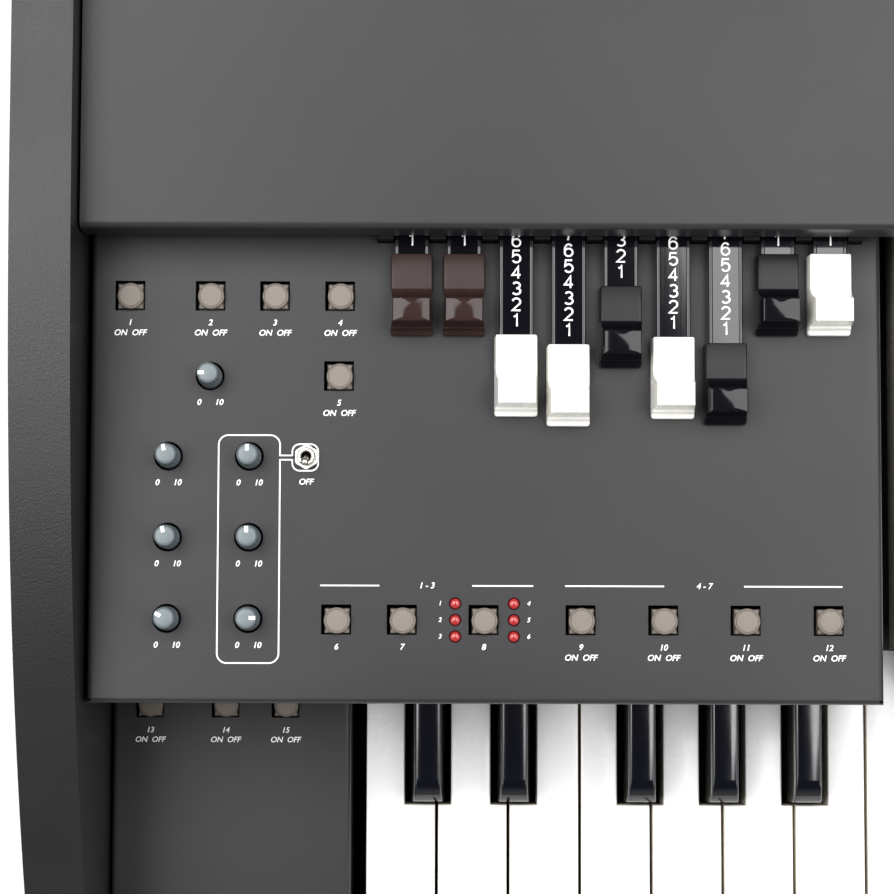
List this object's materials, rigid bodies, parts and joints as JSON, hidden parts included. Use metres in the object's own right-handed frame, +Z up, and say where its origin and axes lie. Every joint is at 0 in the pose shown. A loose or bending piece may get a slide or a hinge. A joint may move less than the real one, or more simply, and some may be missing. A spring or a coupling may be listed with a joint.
{
  "type": "spinet organ",
  "caption": "Table-top organ with two offset keyboards, drawbars, rotary knobs, push buttons and a toggle switch between painted side cheeks.",
  "frame": {"origin": "middle of the base on the surface that the feet stand on", "axes": "+X towards the treble end on the player's right, +Y away from the player, +Z up"},
  "size_m": [0.969, 0.4, 0.188],
  "materials": {
    "board": "matt black painted board",
    "rubber": "matt black rubber",
    "cheek_paint": "fine-textured dark grey paint on board",
    "panel_paint": "satin dark grey powder coat",
    "cover_paint": "satin dark grey powder coat",
    "black_plastic": "matt black moulding",
    "key_white": "polished white",
    "key_black": "polished black",
    "knob_grey": "blue-grey moulding",
    "button_grey": "translucent grey-beige moulding",
    "chrome": "bright plated",
    "drawbar_brown": "satin brown moulding",
    "drawbar_white": "satin ivory moulding",
    "drawbar_black": "polished black moulding"
  },
  "bodies": {
    "case": {"bottom_board": "board", "front_foot_strip": "rubber", "rear_foot_strip": "rubber", "left_cheek": "cheek_paint", "right_cheek": "cheek_paint", "front_rail": "panel_paint", "lower_key_frame": "board", "upper_key_frame": "board", "rear_cover": "cover_paint", "upper_control_panel": "panel_paint", "lower_control_panel": "panel_paint", "right_end_panel": "panel_paint", "drawbar_guide": "black_plastic", "toggle_bushing": "chrome"},
    "drawbar_4": {"drawbar_4": "drawbar_white"},
    "drawbar_1": {"drawbar_1": "drawbar_brown"},
    "drawbar_2": {"drawbar_2": "drawbar_brown"},
    "drawbar_3": {"drawbar_3": "drawbar_white"},
    "drawbar_5": {"drawbar_5": "drawbar_black"},
    "drawbar_6": {"drawbar_6": "drawbar_white"},
    "drawbar_7": {"drawbar_7": "drawbar_black"},
    "drawbar_8": {"drawbar_8": "drawbar_black"},
    "drawbar_9": {"drawbar_9": "drawbar_white"},
    "volume_knob": {"volume_knob": "knob_grey"},
    "click_knob": {"click_knob": "knob_grey"},
    "percussion_volume_knob": {"percussion_volume_knob": "knob_grey"},
    "assignable_knob": {"assignable_knob": "knob_grey"},
    "level_knob": {"level_knob": "knob_grey"},
    "overdrive_knob": {"overdrive_knob": "knob_grey"},
    "tone_knob": {"tone_knob": "knob_grey"},
    "toggle_lever": {"toggle_lever": "chrome"},
    "lower_keys_upward": {"lower_keys_upward": "key_white"},
    "upper_keys": {"upper_keys": "key_white"},
    "lower_key_c": {"lower_key_c": "key_white"},
    "lower_key_d": {"lower_key_d": "key_white"},
    "lower_key_e": {"lower_key_e": "key_white"},
    "lower_key_f": {"lower_key_f": "key_white"},
    "lower_key_g": {"lower_key_g": "key_white"},
    "lower_key_a": {"lower_key_a": "key_white"},
    "lower_key_b": {"lower_key_b": "key_white"},
    "lower_key_c_sharp": {"lower_key_c_sharp": "key_black"},
    "lower_key_d_sharp": {"lower_key_d_sharp": "key_black"},
    "lower_key_f_sharp": {"lower_key_f_sharp": "key_black"},
    "lower_key_g_sharp": {"lower_key_g_sharp": "key_black"},
    "lower_key_a_sharp": {"lower_key_a_sharp": "key_black"},
    "upper_octave_button": {"upper_octave_button": "button_grey"},
    "upper_preset_a_button": {"upper_preset_a_button": "button_grey"},
    "upper_preset_b_button": {"upper_preset_b_button": "button_grey"},
    "manual_upper_button": {"manual_upper_button": "button_grey"},
    "manual_lower_button": {"manual_lower_button": "button_grey"},
    "vibrato_upper_button": {"vibrato_upper_button": "button_grey"},
    "vibrato_lower_button": {"vibrato_lower_button": "button_grey"},
    "vibrato_type_button": {"vibrato_type_button": "button_grey"},
    "percussion_on_button": {"percussion_on_button": "button_grey"},
    "percussion_soft_button": {"percussion_soft_button": "button_grey"},
    "percussion_fast_button": {"percussion_fast_button": "button_grey"},
    "percussion_decay_button": {"percussion_decay_button": "button_grey"},
    "lower_octave_button": {"lower_octave_button": "button_grey"},
    "lower_preset_a_button": {"lower_preset_a_button": "button_grey"},
    "lower_preset_b_button": {"lower_preset_b_button": "button_grey"}
  },
  "joints": [
    {"name": "drawbar_4_slide", "type": "slide", "parent": "case", "child": "drawbar_4", "axis": [0, -1, 0], "range_m": [-0.0276, 0.01112]},
    {"name": "drawbar_1_slide", "type": "slide", "parent": "case", "child": "drawbar_1", "axis": [0, -1, 0], "range_m": [-0.0003, 0.03842]},
    {"name": "drawbar_2_slide", "type": "slide", "parent": "case", "child": "drawbar_2", "axis": [0, -1, 0], "range_m": [-0.0003, 0.03842]},
    {"name": "drawbar_3_slide", "type": "slide", "parent": "case", "child": "drawbar_3", "axis": [0, -1, 0], "range_m": [-0.0247, 0.01402]},
    {"name": "drawbar_5_slide", "type": "slide", "parent": "case", "child": "drawbar_5", "axis": [0, -1, 0], "range_m": [-0.0099, 0.02882]},
    {"name": "drawbar_6_slide", "type": "slide", "parent": "case", "child": "drawbar_6", "axis": [0, -1, 0], "range_m": [-0.0253, 0.01342]},
    {"name": "drawbar_7_slide", "type": "slide", "parent": "case", "child": "drawbar_7", "axis": [0, -1, 0], "range_m": [-0.0271, 0.01162]},
    {"name": "drawbar_8_slide", "type": "slide", "parent": "case", "child": "drawbar_8", "axis": [0, -1, 0], "range_m": [-0.0001, 0.03862]},
    {"name": "drawbar_9_slide", "type": "slide", "parent": "case", "child": "drawbar_9", "axis": [0, -1, 0], "range_m": [0, 0.03872]},
    {"name": "volume_knob_turn", "type": "hinge", "parent": "case", "child": "volume_knob", "pos_m": [-0.4289, 0.0084, 0.15], "axis": [0, 0, -1], "range_deg": [-60, 240]},
    {"name": "click_knob_turn", "type": "hinge", "parent": "case", "child": "click_knob", "pos_m": [-0.44125, -0.0159, 0.15], "axis": [0, 0, -1], "range_deg": [-135, 165]},
    {"name": "percussion_volume_knob_turn", "type": "hinge", "parent": "case", "child": "percussion_volume_knob", "pos_m": [-0.44125, -0.0403, 0.15], "axis": [0, 0, -1], "range_deg": [-135, 165]},
    {"name": "assignable_knob_turn", "type": "hinge", "parent": "case", "child": "assignable_knob", "pos_m": [-0.44125, -0.0647, 0.15], "axis": [0, 0, -1], "range_deg": [-90, 210]},
    {"name": "level_knob_turn", "type": "hinge", "parent": "case", "child": "level_knob", "pos_m": [-0.41685, -0.0159, 0.15], "axis": [0, 0, -1], "range_deg": [-150, 150]},
    {"name": "overdrive_knob_turn", "type": "hinge", "parent": "case", "child": "overdrive_knob", "pos_m": [-0.41685, -0.0403, 0.15], "axis": [0, 0, -1], "range_deg": [-150, 150]},
    {"name": "tone_knob_turn", "type": "hinge", "parent": "case", "child": "tone_knob", "pos_m": [-0.41685, -0.0647, 0.15], "axis": [0, 0, -1], "range_deg": [-240, 60]},
    {"name": "toggle_lever_tilt", "type": "hinge", "parent": "case", "child": "toggle_lever", "pos_m": [-0.3996, -0.0161, 0.1505], "axis": [-1, 0, 0], "range_deg": [0, 24]},
    {"name": "lower_keys_upward_press", "type": "hinge", "parent": "case", "child": "lower_keys_upward", "pos_m": [0, 0.022, 0.049], "axis": [1, 0, 0], "range_deg": [0, 3], "stiffness_Nm_per_rad": 40, "springref_deg": -11.46},
    {"name": "upper_keys_press", "type": "hinge", "parent": "case", "child": "upper_keys", "pos_m": [0, 0.123, 0.115], "axis": [1, 0, 0], "range_deg": [0, 3], "stiffness_Nm_per_rad": 40, "springref_deg": -11.46},
    {"name": "lower_key_c_press", "type": "hinge", "parent": "case", "child": "lower_key_c", "pos_m": [-0.37215, 0.022, 0.049], "axis": [1, 0, 0], "range_deg": [0, 3], "stiffness_Nm_per_rad": 1.2, "springref_deg": -11.46},
    {"name": "lower_key_d_press", "type": "hinge", "parent": "case", "child": "lower_key_d", "pos_m": [-0.34865, 0.022, 0.049], "axis": [1, 0, 0], "range_deg": [0, 3], "stiffness_Nm_per_rad": 1.2, "springref_deg": -11.46},
    {"name": "lower_key_e_press", "type": "hinge", "parent": "case", "child": "lower_key_e", "pos_m": [-0.32515, 0.022, 0.049], "axis": [1, 0, 0], "range_deg": [0, 3], "stiffness_Nm_per_rad": 1.2, "springref_deg": -11.46},
    {"name": "lower_key_f_press", "type": "hinge", "parent": "case", "child": "lower_key_f", "pos_m": [-0.30165, 0.022, 0.049], "axis": [1, 0, 0], "range_deg": [0, 3], "stiffness_Nm_per_rad": 1.2, "springref_deg": -11.46},
    {"name": "lower_key_g_press", "type": "hinge", "parent": "case", "child": "lower_key_g", "pos_m": [-0.27815, 0.022, 0.049], "axis": [1, 0, 0], "range_deg": [0, 3], "stiffness_Nm_per_rad": 1.2, "springref_deg": -11.46},
    {"name": "lower_key_a_press", "type": "hinge", "parent": "case", "child": "lower_key_a", "pos_m": [-0.25465, 0.022, 0.049], "axis": [1, 0, 0], "range_deg": [0, 3], "stiffness_Nm_per_rad": 1.2, "springref_deg": -11.46},
    {"name": "lower_key_b_press", "type": "hinge", "parent": "case", "child": "lower_key_b", "pos_m": [-0.23115, 0.022, 0.049], "axis": [1, 0, 0], "range_deg": [0, 3], "stiffness_Nm_per_rad": 1.2, "springref_deg": -11.46},
    {"name": "lower_key_c_sharp_press", "type": "hinge", "parent": "case", "child": "lower_key_c_sharp", "pos_m": [-0.3633, 0.022, 0.049], "axis": [1, 0, 0], "range_deg": [0, 3], "stiffness_Nm_per_rad": 0.5, "springref_deg": -11.46},
    {"name": "lower_key_d_sharp_press", "type": "hinge", "parent": "case", "child": "lower_key_d_sharp", "pos_m": [-0.3351, 0.022, 0.049], "axis": [1, 0, 0], "range_deg": [0, 3], "stiffness_Nm_per_rad": 0.5, "springref_deg": -11.46},
    {"name": "lower_key_f_sharp_press", "type": "hinge", "parent": "case", "child": "lower_key_f_sharp", "pos_m": [-0.2935, 0.022, 0.049], "axis": [1, 0, 0], "range_deg": [0, 3], "stiffness_Nm_per_rad": 0.5, "springref_deg": -11.46},
    {"name": "lower_key_g_sharp_press", "type": "hinge", "parent": "case", "child": "lower_key_g_sharp", "pos_m": [-0.2665, 0.022, 0.049], "axis": [1, 0, 0], "range_deg": [0, 3], "stiffness_Nm_per_rad": 0.5, "springref_deg": -11.46},
    {"name": "lower_key_a_sharp_press", "type": "hinge", "parent": "case", "child": "lower_key_a_sharp", "pos_m": [-0.2394, 0.022, 0.049], "axis": [1, 0, 0], "range_deg": [0, 3], "stiffness_Nm_per_rad": 0.5, "springref_deg": -11.46},
    {"name": "upper_octave_button_push", "type": "slide", "parent": "case", "child": "upper_octave_button", "axis": [0, 0, -1], "range_m": [0, 0.0006], "stiffness_N_per_m": 400},
    {"name": "upper_preset_a_button_push", "type": "slide", "parent": "case", "child": "upper_preset_a_button", "axis": [0, 0, -1], "range_m": [0, 0.0006], "stiffness_N_per_m": 400},
    {"name": "upper_preset_b_button_push", "type": "slide", "parent": "case", "child": "upper_preset_b_button", "axis": [0, 0, -1], "range_m": [0, 0.0006], "stiffness_N_per_m": 400},
    {"name": "manual_upper_button_push", "type": "slide", "parent": "case", "child": "manual_upper_button", "axis": [0, 0, -1], "range_m": [0, 0.0006], "stiffness_N_per_m": 400},
    {"name": "manual_lower_button_push", "type": "slide", "parent": "case", "child": "manual_lower_button", "axis": [0, 0, -1], "range_m": [0, 0.0006], "stiffness_N_per_m": 400},
    {"name": "vibrato_upper_button_push", "type": "slide", "parent": "case", "child": "vibrato_upper_button", "axis": [0, 0, -1], "range_m": [0, 0.0006], "stiffness_N_per_m": 400},
    {"name": "vibrato_lower_button_push", "type": "slide", "parent": "case", "child": "vibrato_lower_button", "axis": [0, 0, -1], "range_m": [0, 0.0006], "stiffness_N_per_m": 400},
    {"name": "vibrato_type_button_push", "type": "slide", "parent": "case", "child": "vibrato_type_button", "axis": [0, 0, -1], "range_m": [0, 0.0006], "stiffness_N_per_m": 400},
    {"name": "percussion_on_button_push", "type": "slide", "parent": "case", "child": "percussion_on_button", "axis": [0, 0, -1], "range_m": [0, 0.0006], "stiffness_N_per_m": 400},
    {"name": "percussion_soft_button_push", "type": "slide", "parent": "case", "child": "percussion_soft_button", "axis": [0, 0, -1], "range_m": [0, 0.0006], "stiffness_N_per_m": 400},
    {"name": "percussion_fast_button_push", "type": "slide", "parent": "case", "child": "percussion_fast_button", "axis": [0, 0, -1], "range_m": [0, 0.0006], "stiffness_N_per_m": 400},
    {"name": "percussion_decay_button_push", "type": "slide", "parent": "case", "child": "percussion_decay_button", "axis": [0, 0, -1], "range_m": [0, 0.0006], "stiffness_N_per_m": 400},
    {"name": "lower_octave_button_push", "type": "slide", "parent": "case", "child": "lower_octave_button", "axis": [0, 0, -1], "range_m": [0, 0.0006], "stiffness_N_per_m": 400},
    {"name": "lower_preset_a_button_push", "type": "slide", "parent": "case", "child": "lower_preset_a_button", "axis": [0, 0, -1], "range_m": [0, 0.0006], "stiffness_N_per_m": 400},
    {"name": "lower_preset_b_button_push", "type": "slide", "parent": "case", "child": "lower_preset_b_button", "axis": [0, 0, -1], "range_m": [0, 0.0006], "stiffness_N_per_m": 400}
  ]
}
